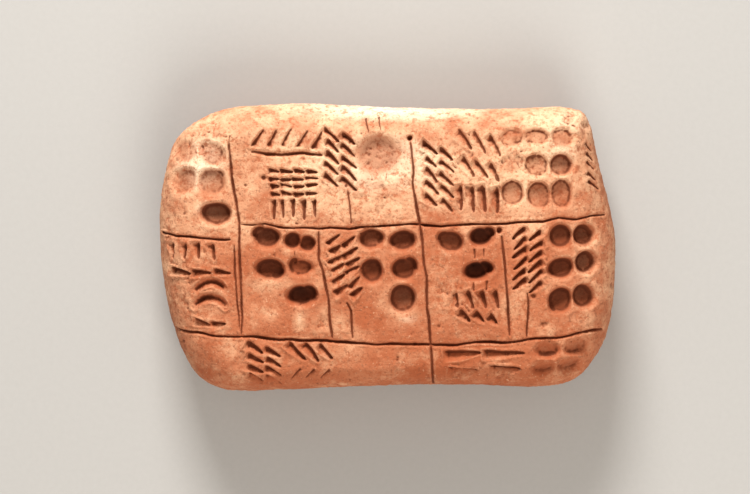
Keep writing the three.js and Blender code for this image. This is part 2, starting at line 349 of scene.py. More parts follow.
@dataclass
class Relief:
    """The depth of all marks over a set of places on the face, and the clay they push up.

    Rim and wall are how far a round mark reaches outside its oval and how wide its wall is at no
    depth. Deep wall, soft wall and soft rim are what they gain with the mark's depth and softness.
    Steepness is how much narrower the wall is at the top, and bowl is how much the floor rises
    towards the wall. Keel is how far beside its middle a stroke is deepest. Each lip is the height
    of the pushed-up clay as a share of the mark's depth.
    """

    x: Array
    y: Array
    burr: Array
    pressure: Array
    rim: float = 0.46
    wall: float = 0.6
    soft_rim: float = 0.4
    soft_wall: float = 1.1
    deep_wall: float = 0.26
    steepness: float = 0.25
    bowl: float = 0.2
    keel: float = 0.6
    round_lip: float = 0.03
    stroke_lip: float = 0.25
    line_lip: float = 0.26
    line_dip: float = 0.19
    carve: Array = field(init=False)
    lip: Array = field(init=False)

    def __post_init__(self) -> None:
        """Start with unmarked clay."""
        self.carve = np.zeros_like(self.x)
        self.lip = np.zeros_like(self.x)

    def near(self, low: Place, high: Place, margin: float) -> Array:
        """The indices of the places in a box, given by two corners, and in a margin round it."""
        inside = (self.x > low[0] - margin) & (self.x < high[0] + margin)
        return np.nonzero(inside & (self.y > low[1] - margin) & (self.y < high[1] + margin))[0]

    def sink(self, index: Array, depth: Array, lip: Array) -> None:
        """Keep the deepest cut and the highest lip at each place."""
        self.carve[index] = np.maximum(self.carve[index], depth)
        self.lip[index] = np.maximum(self.lip[index], lip)

    def press(self, mark: RoundMark) -> None:
        """Sink a round mark: an S-shaped wall round an oval floor that leans.

        Args:
            mark: the press of the stylus.
        """
        size = max(mark.across, mark.up)
        index = self.near((mark.x - size, mark.y - size), (mark.x + size, mark.y + size), 2.0)
        turn = math.radians(mark.turn)
        dx, dy = self.x[index] - mark.x, self.y[index] - mark.y
        along = (dx * math.cos(turn) + dy * math.sin(turn)) / mark.across
        over = (dy * math.cos(turn) - dx * math.sin(turn)) / mark.up
        ring = np.sqrt(along**2 + over**2)
        inset = (1 - ring) * min(mark.across, mark.up)
        tilt = np.clip(over, -1, 1)
        rim = self.rim + self.soft_rim * mark.soft
        wall = self.wall + self.deep_wall * mark.depth + self.soft_wall * mark.soft
        wall = wall * (1 - self.steepness * tilt)
        floor = (1 - self.bowl * np.minimum(ring, 1) ** 2) * (1 + mark.lean * tilt)
        depth = mark.depth * ease((inset + rim) / wall) * floor
        lip = self.round_lip * mark.depth * bell(inset + 0.6, 0.35) * self.burr[index]
        self.sink(index, depth, lip)

    def stroke(self, mark: ReedStroke) -> None:
        """Sink a reed stroke: a lopsided V that narrows and rises from a steep head to a tail.

        Args:
            mark: the touch of the reed.
        """
        head, tail = np.array(mark.head), np.array(mark.tail)
        index = self.near(tuple(np.minimum(head, tail)), tuple(np.maximum(head, tail)), mark.width + 0.6)
        length = float(np.linalg.norm(tail - head))
        run = (tail - head) / length
        dx, dy = self.x[index] - head[0], self.y[index] - head[1]
        along = dx * run[0] + dy * run[1]
        side = dy * run[0] - dx * run[1]
        share = np.clip(along / length, 0, 1)
        half = 0.5 * mark.width * (1 - share) ** 0.5 + 0.1
        keel = math.copysign(self.keel, run[0])
        wall = np.minimum((1 + side / half) / (1 + keel), (1 - side / half) / (1 - keel))
        ends = np.minimum((along + 0.35 * mark.width) / (0.5 * mark.width), (length - along) / 0.5 + 0.2)
        depth = mark.depth * np.clip(wall, 0, 1) ** 0.85 * np.clip(ends, 0, 1) * (1 - 0.5 * share)
        edge = np.maximum(np.abs(side) - half, np.maximum(-along - 0.35 * mark.width, along - length))
        rise = self.stroke_lip * mark.depth * (1 - 0.6 * share)
        lip = rise * bell(edge - 0.2, 0.24) * self.burr[index]
        self.sink(index, depth, lip)

    def line(self, mark: DrawnLine) -> None:
        """Sink a drawn line: a V groove by the distance to its nearest straight part, in a soft dip.

        Args:
            mark: the line.
        """
        points = np.array(mark.points, dtype=float)
        index = self.near(tuple(points.min(axis=0)), tuple(points.max(axis=0)), mark.width + 2.2)
        nearest = np.full(len(index), np.inf)
        travelled = np.zeros(len(index))
        whole = 0.0
        for start, end in zip(points[:-1], points[1:]):
            length = max(float(np.linalg.norm(end - start)), 1e-6)
            run = (end - start) / length
            dx, dy = self.x[index] - start[0], self.y[index] - start[1]
            along = np.clip(dx * run[0] + dy * run[1], 0, length)
            away = np.hypot(dx - along * run[0], dy - along * run[1])
            travelled = np.where(away < nearest, whole + along, travelled)
            nearest = np.minimum(nearest, away)
            whole += length
        middle = np.abs(2 * travelled / whole - 1)
        pressure = self.pressure[index] * (1 - mark.taper * middle**4)
        half = 0.5 * mark.width * (0.7 + 0.3 * pressure)
        groove = mark.depth * pressure * np.clip(1 - nearest / half, 0, 1) ** 0.85
        dip = self.line_dip * pressure * bell(nearest, 1.3)
        lip = self.line_lip * mark.depth * bell(nearest - half - 0.18, 0.22) * self.burr[index]
        self.sink(index, groove + dip, lip)


def comb(start: Place, count: int, pitch: Place, run: Place,
         width: float = ReedStroke.width, depth: float = ReedStroke.depth) -> list[ReedStroke]:
    """A row of strokes side by side, all running the same way."""
    heads = [(start[0] + pitch[0] * i, start[1] + pitch[1] * i) for i in range(count)]
    return [ReedStroke(head, (head[0] + run[0], head[1] + run[1]), width, depth) for head in heads]


def slanted_columns(start: Place, apart: float, rows: int, pitch: float, run: Place,
                    lean: float = 0.0) -> list[ReedStroke]:
    """Two columns of strokes that all slant the same way, the second a little lower."""
    first = comb(start, rows, (lean, -pitch), run)
    return first + comb((start[0] + apart, start[1] - 0.4 * pitch), rows, (lean, -pitch), run)


def arc(x: float, y: float, radius: float, start: float, end: float) -> DrawnLine:
    """A broad curved line along part of a circle.

    Args:
        x: the circle's middle, along the rows.
        y: its middle, upwards.
        radius: its radius.
        start: angle of the first end in degrees.
        end: angle of the last end.

    Returns:
        The line.
    """
    turns = np.radians(np.linspace(start, end, 12))
    points = [(x + radius * math.cos(turn), y + radius * math.sin(turn)) for turn in turns]
    return DrawnLine(tuple(points), width=1.9, depth=1.25, taper=0.8)


def presses(*rows: tuple[float, ...]) -> list[RoundMark]:
    """Round marks, each from its sizes in the order of a mark's fields."""
    return [RoundMark(*row) for row in rows]


@dataclass
class Inscription:
    """The marks of the face, case by case: rows that spell nothing, in the old layout."""

    seed: int = Seed.HAND
    hand: float = 0.16

    def rulings(self) -> list[DrawnLine]:
        """The lines that divide the face into cases.

        Returns:
            The lines, the long ones first.
        """
        upper_row = (
            (-28.9, 5.2), (-26.5, 5), (-24.3, 5.3), (-20.7, 4.5), (-19.1, 4.3), (-13.5, 4.5),
            (-11.5, 4.7), (-7.7, 4.3), (-1.5, 5), (6.1, 5.2), (10.5, 4.8), (16.5, 5.2), (23.5, 5.1),
            (26.5, 5.5), (30.5, 5.7), (33.7, 6.4), (37.5, 6.2), (42.7, 6.8),
        )
        lower_row = (
            (-42.9, -15.9), (-39.5, -16.5), (-31.5, -17.2), (-26.5, -17.4), (-21.5, -17.8),
            (-16.3, -17.9), (-7.1, -18.3), (-1.5, -18.6), (7.5, -18.8), (13.5, -18.8), (17.3, -18.3),
            (23.5, -18.3), (27.5, -17.9), (33.5, -17.4), (39.5, -16.4), (42.5, -15.9),
        )
        left_row = ((-44.6, 3.2), (-41.9, 2.6), (-37.5, 2.3), (-31.5, 2.1))
        left_column = (
            (-31.2, 22.6), (-31.3, 20), (-31, 17.4), (-30.7, 13.8), (-30.4, 11), (-30, 9.4),
            (-29.4, 5.6), (-29.5, 1.4), (-29.3, -3), (-29, -10.6), (-28.9, -17),
        )
        middle_column = (
            (4.6, 21.6), (4.9, 15.4), (4.8, 13.4), (5.3, 11), (5.7, 8.8), (6.3, 5.4), (7, -0.6),
            (7.7, -8.6), (8.3, -16.6), (8.4, -18.6), (8.8, -22.6), (8.9, -28.2),
        )
        inner_left = (
            (-13.7, 4.4), (-13.7, -1.6), (-13.3, -3), (-12.7, -4.6), (-11.9, -9.2), (-11, -17.6),
        )
        inner_right = ((22.5, 2.8), (22.9, -2), (23.4, -7.6), (23.7, -12.6), (24, -16.8))
        upright = ((-8.3, -10.4), (-7.5, -12), (-7, -17.4))
        second_upright = ((27.6, -8.6), (27.7, -13), (27.7, -17.6))
        upper_upright = ((-8.0, 12.4), (-7.6, 9.4), (-7.3, 5.4))
        left_double = ((-30.5, 0.9), (-30.2, -5), (-29.8, -11), (-29.3, -16))
        rows = [DrawnLine(row, width=0.76, depth=0.8) for row in (upper_row, lower_row, left_row)]
        long_columns = (left_column, middle_column, inner_left)
        columns = [DrawnLine(row, width=0.72, depth=0.78) for row in long_columns]
        uprights = (inner_right, upright, second_upright, upper_upright)
        stubs = [DrawnLine(row, width=0.64, depth=0.68) for row in uprights]
        return rows + columns + stubs + [DrawnLine(left_double, width=0.55, depth=0.55)]

    def round_marks(self) -> list[RoundMark]:
        """The round marks, case by case from the top left.

        Returns:
            The marks, with those that were pressed twice and the small pricks last.
        """
        first_case = presses(
            (-40.2, 19.3, 2.6, 2.3, 0.9, 15, 0.9), (-35.0, 18.8, 2.8, 2.5, 1.2, -20, 0.8),
            (-40.3, 13.5, 2.7, 2.5, 1.1, 30, 0.8), (-34.9, 13.2, 2.9, 2.7, 1.3, 0, 0.8),
            (-34.1, 7.1, 3.1, 2.4, 2.0, 0, 0.1), (-1.9, 18.3, 4.5, 4.2, 1.5, 0, 2.2, 0.5),
            (-36.2, 19.8, 1.7, 1.5, 1.1, 0, 0.3), (-41.2, 12.6, 1.5, 1.8, 0.9, 0, 0.3),
            (-33.8, 14.4, 1.6, 1.4, 1.1, 0, 0.3),
        )
        nine_marks = presses(
            (24.5, 22.0, 2.4, 1.9, 0.9, 0, 0.1), (29.5, 22.1, 2.6, 1.7, 1.1, 0, 0.1),
            (34.7, 22.0, 2.3, 2.0, 0.8, 0, 0.2), (24.7, 16.8, 2.3, 1.9, 0.6, 0, 0.3),
            (29.4, 16.6, 2.5, 2.2, 1.2), (34.4, 16.6, 2.4, 2.2, 1.6), (24.6, 11.2, 2.4, 2.5, 1.2),
            (29.8, 10.6, 2.2, 2.8, 1.2), (34.2, 11.0, 2.2, 2.8, 1.2),
        )
        five_marks = presses(
            (-23.9, 2.4, 2.76, 2.09, 2.1), (-18.8, 1.7, 1.8, 1.74, 2.0), (-15.9, 1.2, 1.8, 1.62, 1.9),
            (-23.5, -3.8, 2.97, 2.09, 2.1), (-17.1, -3.6, 2.33, 1.62, 1.5),
            (-17.3, -9.3, 2.97, 2.09, 2.5),
        )
        second_five = presses(
            (-3.3, 2.2, 2.54, 2.09, 2.0), (2.8, 1.8, 2.76, 2.09, 2.1), (-3.2, -4.2, 2.23, 2.44, 2.0),
            (3.2, -3.9, 2.33, 2.2, 2.0), (3.0, -9.8, 2.65, 2.9, 2.0),
        )
        three_marks = presses(
            (12.3, 1.6, 2.54, 2.09, 1.9), (18.5, 2.6, 2.54, 1.86, 2.4), (17.4, -4.3, 2.65, 1.97, 2.6),
        )
        six_marks = presses(
            (34.2, 2.7, 2.3, 2.4, 1.9), (38.9, 2.8, 2.4, 2.3, 2.0), (34.3, -3.8, 2.6, 2.1, 2.0, 25),
            (39.4, -2.6, 2.5, 2.2, 2.0, 20), (34.3, -10.2, 2.6, 2.4, 2.0, 25),
            (39.0, -9.4, 2.4, 2.5, 2.0),
        )
        scoops = [
            RoundMark(x, y, 2.6, 1.8, 1.3, 8, 0.3, -0.6)
            for x, y in ((31.7, -19.9), (37.5, -19.5), (30.9, -23.8), (36.3, -23.2))
        ]
        double_presses = presses(
            (-15.9, -9.0, 2.0, 1.9, 2.3), (19.2, -3.7, 1.6, 1.5, 2.4), (19.8, 3.2, 1.6, 1.4, 2.2),
            (-25.2, 3.0, 1.7, 1.7, 1.9), (4.3, -3.3, 1.6, 1.8, 1.9), (-18.4, -3.3, 1.2, 1.7, 1.5),
            (33.2, -11.0, 1.5, 1.6, 1.9), (11.2, 2.2, 1.6, 1.5, 1.8), (30.3, 9.8, 1.6, 1.8, 1.2),
            (-22.2, -4.4, 1.8, 1.6, 2.1),
        )
        pricks = presses(
            (4.5, 22.2, 0.55, 0.55, 1.3), (22.0, 3.7, 0.6, 0.7, 1.2), (-24.5, 14.3, 0.5, 0.4, 0.5),
            (23.4, 9.2, 0.4, 0.4, 0.5), (31.1, -15.0, 0.7, 0.5, 0.4), (28.7, -9.4, 0.5, 0.5, 0.5),
        )
        cases = first_case + nine_marks + five_marks + second_five + three_marks + six_marks
        return cases + scoops + double_presses + pricks

    def curves(self) -> list[DrawnLine]:
        """The bent strokes of the left case and the base line over the lattice."""
        base_line = ((-26.6, 19.4), (-24, 18.9), (-21, 18.8), (-17, 19.2), (-13.2, 18.9))
        return [DrawnLine(base_line, 1.1, 0.75)] + [arc(-35.4, y, 3.6, 150, 30) for y in (-13, -10)]

    def strokes(self) -> list[ReedStroke]:
        """The reed strokes: plain rows, combs and slanted columns, case by case.

        Returns:
            The strokes of the upper, the middle and the lower cases.
        """
        lattice = [comb((-23.2, y), 4, (2.35, 0), (2.3, 0), 1.35, 1.1) for y in (15.6, 14.1, 12.6, 11.1)]
        upper = [
            *(stroke for row in lattice for stroke in row),
            *comb((-22.8, 9.9), 5, (2, 0), (0.2, -3.8), 1.2, 1.0),
            *comb((-26, 20.4), 5, (2.9, 0), (1.6, 3.6), 1.7, 1.0),
            *slanted_columns((-12.4, 23.6), 3.3, 5, 2.2, (2.9, -2.3)),
            *comb((-4.3, 26), 2, (2.4, 0), (0.3, -3.4), 0.6, 0.5),
            *comb((-3.4, 15.2), 2, (2.6, 0), (0, -1.6), 0.7, 0.6),
            *slanted_columns((7.2, 20.8), 3.1, 5, 2.5, (2.8, -2.2)),
            *comb((14, 23.4), 3, (2.9, -0.7), (2.5, -3.6), 1.9, 1.3),
            *comb((14.4, 17.8), 3, (2.7, -0.6), (2.5, -3.2), 1.9, 1.2),
            *comb((13.6, 12.4), 4, (2.4, -0.2), (0.9, -4.6), 2.0, 1.4),
            *comb((38.9, 21), 5, (0.25, -1.9), (1.7, -1.6), 0.9, 0.6),
        ]
        middle = [
            *comb((-43, 0.8), 4, (2.6, 0), (0.4, -2.8)),
            *comb((-42.6, -4.4), 3, (4.2, 0), (3.4, -0.3)),
            *comb((-38.4, -14.6), 2, (3.4, 0), (3.2, -0.4), 1.9, 1.2),
            *slanted_columns((-11.7, 1.6), 2.9, 6, 2.0, (2.5, 1.9), 0.3),
            *comb((13, -8.6), 4, (2.6, 0), (1, -3)),
            *comb((14.2, -12.6), 3, (2.8, -0.3), (2, -1.6)),
            *slanted_columns((27.4, 4.2), 3.2, 6, 2.0, (-2.7, -2)),
        ]
        lower = [
            *slanted_columns((-27.6, -19), 3.6, 4, 2.0, (3, -1.5)),
            *comb((-19.4, -19), 3, (2.9, 0), (2.8, -3)),
            *comb((-17.4, -24), 3, (2.9, 0), (-2, -2), 0.75, 0.55),
            *comb((11.4, -21), 2, (8.4, 0), (7.4, 0.3), 2.1, 1.3),
            *comb((12.4, -24.2), 2, (8.4, 0), (5.6, 0.3), 2.1, 1.3),
        ]
        return upper + middle + lower

    def ticks(self) -> list[ReedStroke]:
        """The small ticks around the round marks.

        Returns:
            The ticks above the marks, then those below.
        """
        upper_ticks = [(-20.1, 4.0), (-18.2, 4.0), (10.7, 4.6), (12.9, 4.4), (16.8, 4.6)]
        tails = [(-18.4, 0.1), (-16.7, -0.1), (17.1, 0.6), (18.9, 0.8), (16.6, -6.2), (18.9, -6.2)]
        above = [(place, (place[0] + 0.1, place[1] - 1.2)) for place in upper_ticks]
        below = [(place, (place[0] + 0.3, place[1] - 2.4)) for place in tails]
        return [ReedStroke(head, tail, width=0.5, depth=0.4) for head, tail in above + below]

    def pressed_into(self, relief: Relief) -> None:
        """Press every mark into the clay, each stroke a little off its place as by hand.

        Args:
            relief: the places that take the marks.
        """
        random = np.random.default_rng(self.seed)
        for line in self.rulings() + self.curves():
            relief.line(line)
        for mark in self.round_marks():
            relief.press(mark)
        for stroke in self.strokes() + self.ticks():
            shift = random.normal(0, self.hand, 4)
            head = (stroke.head[0] + shift[0], stroke.head[1] + shift[1])
            tail = (stroke.tail[0] + shift[2], stroke.tail[1] + shift[3])
            swell = random.uniform(0.85, 1.2)
            relief.stroke(ReedStroke(head, tail, stroke.width * swell, stroke.depth * swell))


@dataclass(frozen=True)
class Patch:
    """A soft oval on the clay: its middle, its half width and half height, and its strength."""

    x: float
    y: float
    wide: float
    high: float
    strength: float = 1.0


@dataclass
class Skin:
    """One side of the finished surface: its places, and the values that the finish reads there."""

    points: Array
    values: dict[str, Array]


@dataclass
class TabletSurface:
    """The whole skin of the tablet: a fine face, a plainer back, and what time has done to both.

    Cell is the width of the face's grid. Swell, lump, tooth and rubbed tooth are heights of the
    clay's unevenness, each with the size of its lumps. Sway is how far the unevenness bends the
    marks, swing is how much it changes their pressure, and burr size is that of the gaps in their
    lips. Wear is the share of their depth that a worn place loses, flake is how deep it flakes, and
    edge fade is the height above the widest outline over which the marks fade in. Hollows are
    measured in squares that reach some cells each way.
    """

    form: TabletForm
    inscription: Inscription
    cell: float = 0.17
    back_rings: int = 56
    triangles: int = 192_000
    swell: float = 0.44
    swell_size: float = 15.0
    lump: float = 0.17
    lump_size: float = 4.0
    tooth: float = 0.11
    rubbed_tooth: float = 0.32
    tooth_size: float = 1.2
    sway: float = 0.42
    sway_size: float = 6.0
    swing: float = 0.55
    burr_size: float = 2.5
    wear: float = 0.35
    flake: float = 0.5
    edge_fade: float = 2.0
    hollow_cells: int = 5
    fine_hollow_cells: int = 2
    pit_count: int = 170
    least_pit: float = 0.16
    pit_range: float = 0.4
    pit_steepness: float = 0.5
    # Pale ovals: buff wear, and painted light on the lit top field, the top edge and both ends.
    pale_and_lit_places: tuple[Patch, ...] = (
        Patch(-2, 17, 30, 12), Patch(-36, 18, 10, 11), Patch(31, 19, 13, 9), Patch(-36, 8, 6, 5, 0.9),
        Patch(40, -2, 6, 16, 0.6), Patch(0, 28, 44, 5.5), Patch(-36, -12, 6, 5, 0.3),
        Patch(-17.5, -13.5, 1.2, 3, 0.9), Patch(-45, -2, 4, 18, 0.6), Patch(-36, -24, 9, 6, 0.3),
        Patch(45, -2, 5, 18, 0.6), Patch(34, 25, 14, 5), Patch(-38, 16, 9, 9), Patch(4, -13.6, 4, 1.8),
        Patch(-23, -6.6, 5, 1.4, 0.7),
    )
    stained_places: tuple[Patch, ...] = (
        Patch(-44.5, 5, 2, 3, 0.5), Patch(-20, -12, 7, 4, 0.6), Patch(-2, -13.5, 6, 4),
        Patch(14, -14, 8, 3, 0.6), Patch(-38, -24, 3, 3, 0.4), Patch(38, -16, 8, 4, 0.5),
        Patch(2, -8, 44, 12, 0.8), Patch(-26, 10, 3, 5, 0.4), Patch(12, -27, 14, 4, 0.5),
        Patch(-1.9, 18.6, 3.6, 2.8, 0.85), Patch(24.6, 19, 2.4, 4, 0.4),
    )
    worn_places: tuple[Patch, ...] = (
        Patch(26, 19, 6, 6), Patch(12, -8.5, 4, 4, 0.8), Patch(-10, -4, 4, 5, 0.8),
        Patch(36, 25.5, 5, 2.6), Patch(-36, 22, 6, 4, 0.8), Patch(14, 15, 7, 6, 0.55),
        Patch(-22, 22, 7, 4, 0.5), Patch(34, -21.5, 7, 5, 0.25), Patch(-2, 18.5, 4, 3.4, 0.9),
        Patch(-40, -8, 4, 8, 0.4), Patch(-2, 10, 7, 6, 0.6),
    )
    chips: tuple[RoundMark, ...] = tuple(presses(
        (36.0, 25.6, 1.3, 0.9, 0.7, 20, 0.4), (39.4, 24.3, 0.9, 0.8, 0.6, 0, 0.3),
        (-42.9, -16.6, 0.9, 0.7, 0.6, 0, 0.4), (45.2, -7.6, 0.9, 0.7, 0.5, 0, 0.4),
        (-40.8, 25.2, 2.4, 1.8, 0.6, 40, 1.0), (-12.4, -28.2, 0.8, 0.7, 0.6, 0, 0.3),
        (12.6, 23.6, 1.5, 0.9, 0.4, 30, 0.8), (10.8, -8.4, 1.6, 1.2, 0.35, 15, 0.9),
        (-12.4, -14.6, 1.5, 1.1, 0.3, 50, 0.8), (38.8, -21.0, 1.2, 0.9, 0.4, 10, 0.6),
        (-29.8, -23.0, 1.6, 0.9, 0.3, 60, 0.9), (22.6, -26.0, 1.4, 0.7, 0.6, 35, 0.4),
    ))

    def spread(self, half: float, low_rounding: float, high_rounding: float) -> Array:
        """Even steps over a profile: flat in the middle and a quarter circle at each end.

        Args:
            half: half of the profile's width.
            low_rounding: width of the rounding at the low end.
            high_rounding: width of the rounding at the high end.

        Returns:
            The steps' places across the width.
        """
        rise = self.form.thickness / 2 - self.form.face_crown
        sides = []
        for rounding in (low_rounding, high_rounding):
            bend = math.pi / 2 * math.sqrt((rounding**2 + rise**2) / 2)
            flat = half - rounding
            count = int((flat + bend) / self.cell)
            run = (np.arange(count) + 0.5) / (count - 0.5) * (flat + bend)
            turn = np.clip((run - flat) / bend, 0, 1) * math.pi / 2
            sides.append(np.where(run < flat, run, flat + rounding * np.sin(turn)))
        return np.concatenate([-sides[0][::-1], sides[1]])

    def face_grid(self) -> tuple[Array, Array]:
        """The face's grid: a rectangle's places moved out along rays.

        Returns:
            The direction of each place and its share of the reach.
        """
        form = self.form
        across = self.spread(form.length / 2, form.end_shoulder, form.end_shoulder)
        up = self.spread(form.width / 2, form.bottom_shoulder, form.top_shoulder)
        x, y = np.meshgrid(across, up)
        share = np.maximum(np.abs(x) / (form.length / 2), np.abs(y) / (form.width / 2))
        return np.arctan2(y, x), share

    def back_grid(self, border: Array) -> tuple[Array, Array]:
        """The back's grid: rings that are close together at the edge and evenly spaced further in.

        Args:
            border: directions of the face's border.

        Returns:
            The direction of each place and its share of the reach.
        """
        turn = (np.arange(1, self.back_rings) / self.back_rings) * math.pi / 2
        bent = 1 - 0.32 * (1 - np.cos(turn))
        straight = np.linspace(1, 0, self.back_rings + 1)[1:-1]
        shares = bent * (1 - ease(turn / 1.5)) + straight * ease(turn / 1.5)
        angle, share = np.meshgrid(border, shares)
        return angle, share

    def unevenness(self, points: Array, rough: Array) -> Array:
        """Heights of broad swells, small lumps and a fine tooth that is stronger where it is rubbed.

        Args:
            points: places of the smooth form.
            rough: how rough each place is rubbed, from 0 to 1.

        Returns:
            The heights.
        """
        broad = self.swell * ClayNoise(Seed.SWELLS).lumps(points, self.swell_size, 2)
        small = self.lump * ClayNoise(Seed.LUMPS).lumps(points, self.lump_size, 3, 0.6)
        fine = ClayNoise(Seed.TOOTH).lumps(points, self.tooth_size, 2, 0.8)
        return broad + small + fine * (self.tooth + self.rubbed_tooth * rough)

    def rubbed(self, points: Array) -> Array:
        """How rough the clay is rubbed at each place, in patches of noise from 0 to 0.6."""
        return np.clip(ClayNoise(Seed.RUBBED).lumps(points, 9, 3, 0.6) * 1.6 + 0.1, 0, 1) * 0.6

    def pits(self, x: Array, y: Array) -> Array:
        """Small round pits scattered over the face, each a shallow bowl.

        Args:
            x: places along the rows.
            y: places upwards.

        Returns:
            The depth at each place.
        """
        random = np.random.default_rng(Seed.PITS)
        reach = (self.form.length / 2, self.form.width / 2)
        depth = np.zeros_like(x)
        for _ in range(self.pit_count):
            place = random.uniform(-1, 1, 2) * reach
            radius = self.least_pit + self.pit_range * random.random() ** 4
            inside = (np.abs(x - place[0]) < radius) & (np.abs(y - place[1]) < radius)
            index = np.nonzero(inside)[0]
            ring = np.hypot(x[index] - place[0], y[index] - place[1]) / radius
            bowl = radius * self.pit_steepness * np.clip(1 - ring**2, 0, 1)
            depth[index] = np.maximum(depth[index], bowl)
        return depth

    def patches(self, points: Array, places: tuple[Patch, ...]) -> Array:
        """The strength of some soft ovals, the strongest where they overlap.

        Args:
            points: places, with three columns.
            places: the ovals.

        Returns:
            The strength at each place.
        """
        total = np.zeros_like(points[:, 0])
        for oval in places:
            away = np.hypot((points[:, 0] - oval.x) / oval.wide, (points[:, 1] - oval.y) / oval.high)
            total = np.maximum(total, oval.strength * bell(away, 1.0))
        return total

    def hollows(self, heights: Array, cells: int) -> Array:
        """How far each place lies below its surroundings: two means over squares, less the height.

        Args:
            heights: a grid of heights.
            cells: half the width of the squares.

        Returns:
            The depths, one after another.
        """
        size = 2 * cells + 1
        mean = heights
        for axis in (0, 1, 0, 1):
            ends = [(0, 0), (0, 0)]
            ends[axis] = (cells + 1, cells)
            total = np.cumsum(np.pad(mean, ends, mode="edge"), axis=axis)
            rows = np.arange(heights.shape[axis])
            mean = (np.take(total, rows + size, axis) - np.take(total, rows, axis)) / size
        return (mean - heights).ravel()

    def marks(self, body: Array) -> Relief:
        """Press the inscription and the chips, bent a little and pressed unevenly as by hand.

        Args:
            body: places of the smooth face.

        Returns:
            The relief with every mark in it.
        """
        bend = ClayNoise(Seed.SWAY_ALONG).lumps(body, self.sway_size, 2, 0.35) * self.sway
        bend_up = ClayNoise(Seed.SWAY_UP).lumps(body, self.sway_size, 2, 0.35) * self.sway
        pressure = 1 + self.swing * ClayNoise(Seed.PRESSURE).wave(body, 5)
        burr = np.clip(0.7 + 1.3 * ClayNoise(Seed.BURR).lumps(body, self.burr_size, 2), 0, 2)
        relief = Relief(body[:, 0] + bend, body[:, 1] + bend_up, burr, pressure)
        self.inscription.pressed_into(relief)
        for chip in self.chips:
            relief.press(chip)
        return relief

    def face_skin(self, angle: Array, share: Array) -> Skin:
        """Mark, wear and pit the face, and move it along its outward direction by the sum.

        Args:
            angle: direction of each place of the grid.
            share: its share of the reach.

        Returns:
            The finished face.
        """
        form = self.form
        shape = angle.shape
        angle, share = angle.ravel(), share.ravel()
        body = form.face(angle, share)
        relief = self.marks(body)
        worn = self.patches(body, self.worn_places)
        rough = np.clip(np.maximum(worn, self.rubbed(body)), 0, 1)
        over_edge = ease((body[:, 2] - form.thickness * form.edge_share) / self.edge_fade)
        carve = relief.carve * (1 - self.wear * worn) * over_edge
        lip = relief.lip * over_edge * np.clip(1 - relief.carve * 3, 0, 1)
        pits = self.pits(body[:, 0], body[:, 1])
        flakes = self.flake * worn * np.clip(ClayNoise(Seed.FLAKES).lumps(body, 3, 3, 0.7) * 1.8, 0, 1)
        offset = self.unevenness(body, rough) + lip - carve - pits - flakes
        heights = offset.reshape(shape)
        normal = facing(form, Sheet.FACE, angle, share)
        return Skin(body + normal * offset[:, None], {
            "carved": carve,
            "hollow": self.hollows(heights, self.hollow_cells),
            "fine_hollow": self.hollows(heights, self.fine_hollow_cells),
            "rough": rough,
            "pale": self.patches(body, self.pale_and_lit_places),
            "stained": self.patches(body, self.stained_places),
        })

    def back_skin(self, border: Array) -> Skin:
        """The unmarked back, which fades from the face's colours and stays above the floor.

        Args:
            border: directions of the face's border.

        Returns:
            The finished back.
        """
        form = self.form
        angle, share = (grid.ravel() for grid in self.back_grid(border))
        body = form.back(angle, share)
        rough = self.rubbed(body)
        normal = facing(form, Sheet.BACK, angle, share)
        points = body + normal * self.unevenness(body, rough)[:, None]
        points[:, 2] = np.maximum(points[:, 2], 0)
        fade = ease(body[:, 2] / (form.thickness * form.edge_share))
        return Skin(points, {
            "rough": rough,
            "pale": fade * self.patches(body, self.pale_and_lit_places),
            "stained": fade * self.patches(body, self.stained_places),
        })

    def build(self) -> bpy.types.Object:
        """Make both sides, join them with quads and a fan, and thin the mesh where it is smooth.

        Returns:
            The piece.
        """
        angle, share = self.face_grid()
        face = self.face_skin(angle, share)
        index = np.arange(angle.size).reshape(angle.shape)
        border = np.concatenate([index[0, :-1], index[:-1, -1], index[-1, :0:-1], index[:0:-1, 0]])
        back = self.back_skin(angle.ravel()[border])
        points = np.concatenate([face.points, back.points, [[0.0, 0.0, 0.0]]])
        back_index = len(face.points) + np.arange(len(back.points)).reshape(-1, len(border))
        rings = np.concatenate([[border], back_index])
        further = np.roll(rings, -1, axis=1)
        face_quads = [index[:-1, :-1], index[:-1, 1:], index[1:, 1:], index[1:, :-1]]
        back_quads = [rings[:-1], rings[1:], further[1:], further[:-1]]
        quads = [np.stack(corners, axis=-1).reshape(-1, 4) for corners in (face_quads, back_quads)]
        middle = np.full(len(border), len(points) - 1)
        fan = np.stack([rings[-1], middle, further[-1]], axis=-1)
        plain = np.zeros(len(back.points))
        values = {
            name: np.concatenate([amounts, back.values.get(name, plain), [0.0]])
            for name, amounts in face.values.items()
        }
        piece = closed_mesh("tablet_clay", points, np.concatenate(quads), fan, values)
        self.thin(piece)
        return piece

    def thin(self, piece: bpy.types.Object) -> None:
        """Merge the faces of smooth places until the piece has the wanted number of triangles.

        Args:
            piece: the piece to thin.
        """
        count = sum(len(polygon.vertices) - 2 for polygon in piece.data.polygons)
        modifier = piece.modifiers.new("thin", "DECIMATE")
        modifier.ratio = min(1.0, self.triangles / count)
        bpy.context.view_layer.objects.active = piece
        bpy.ops.object.modifier_apply(modifier=modifier.name)
        piece.data.shade_smooth()


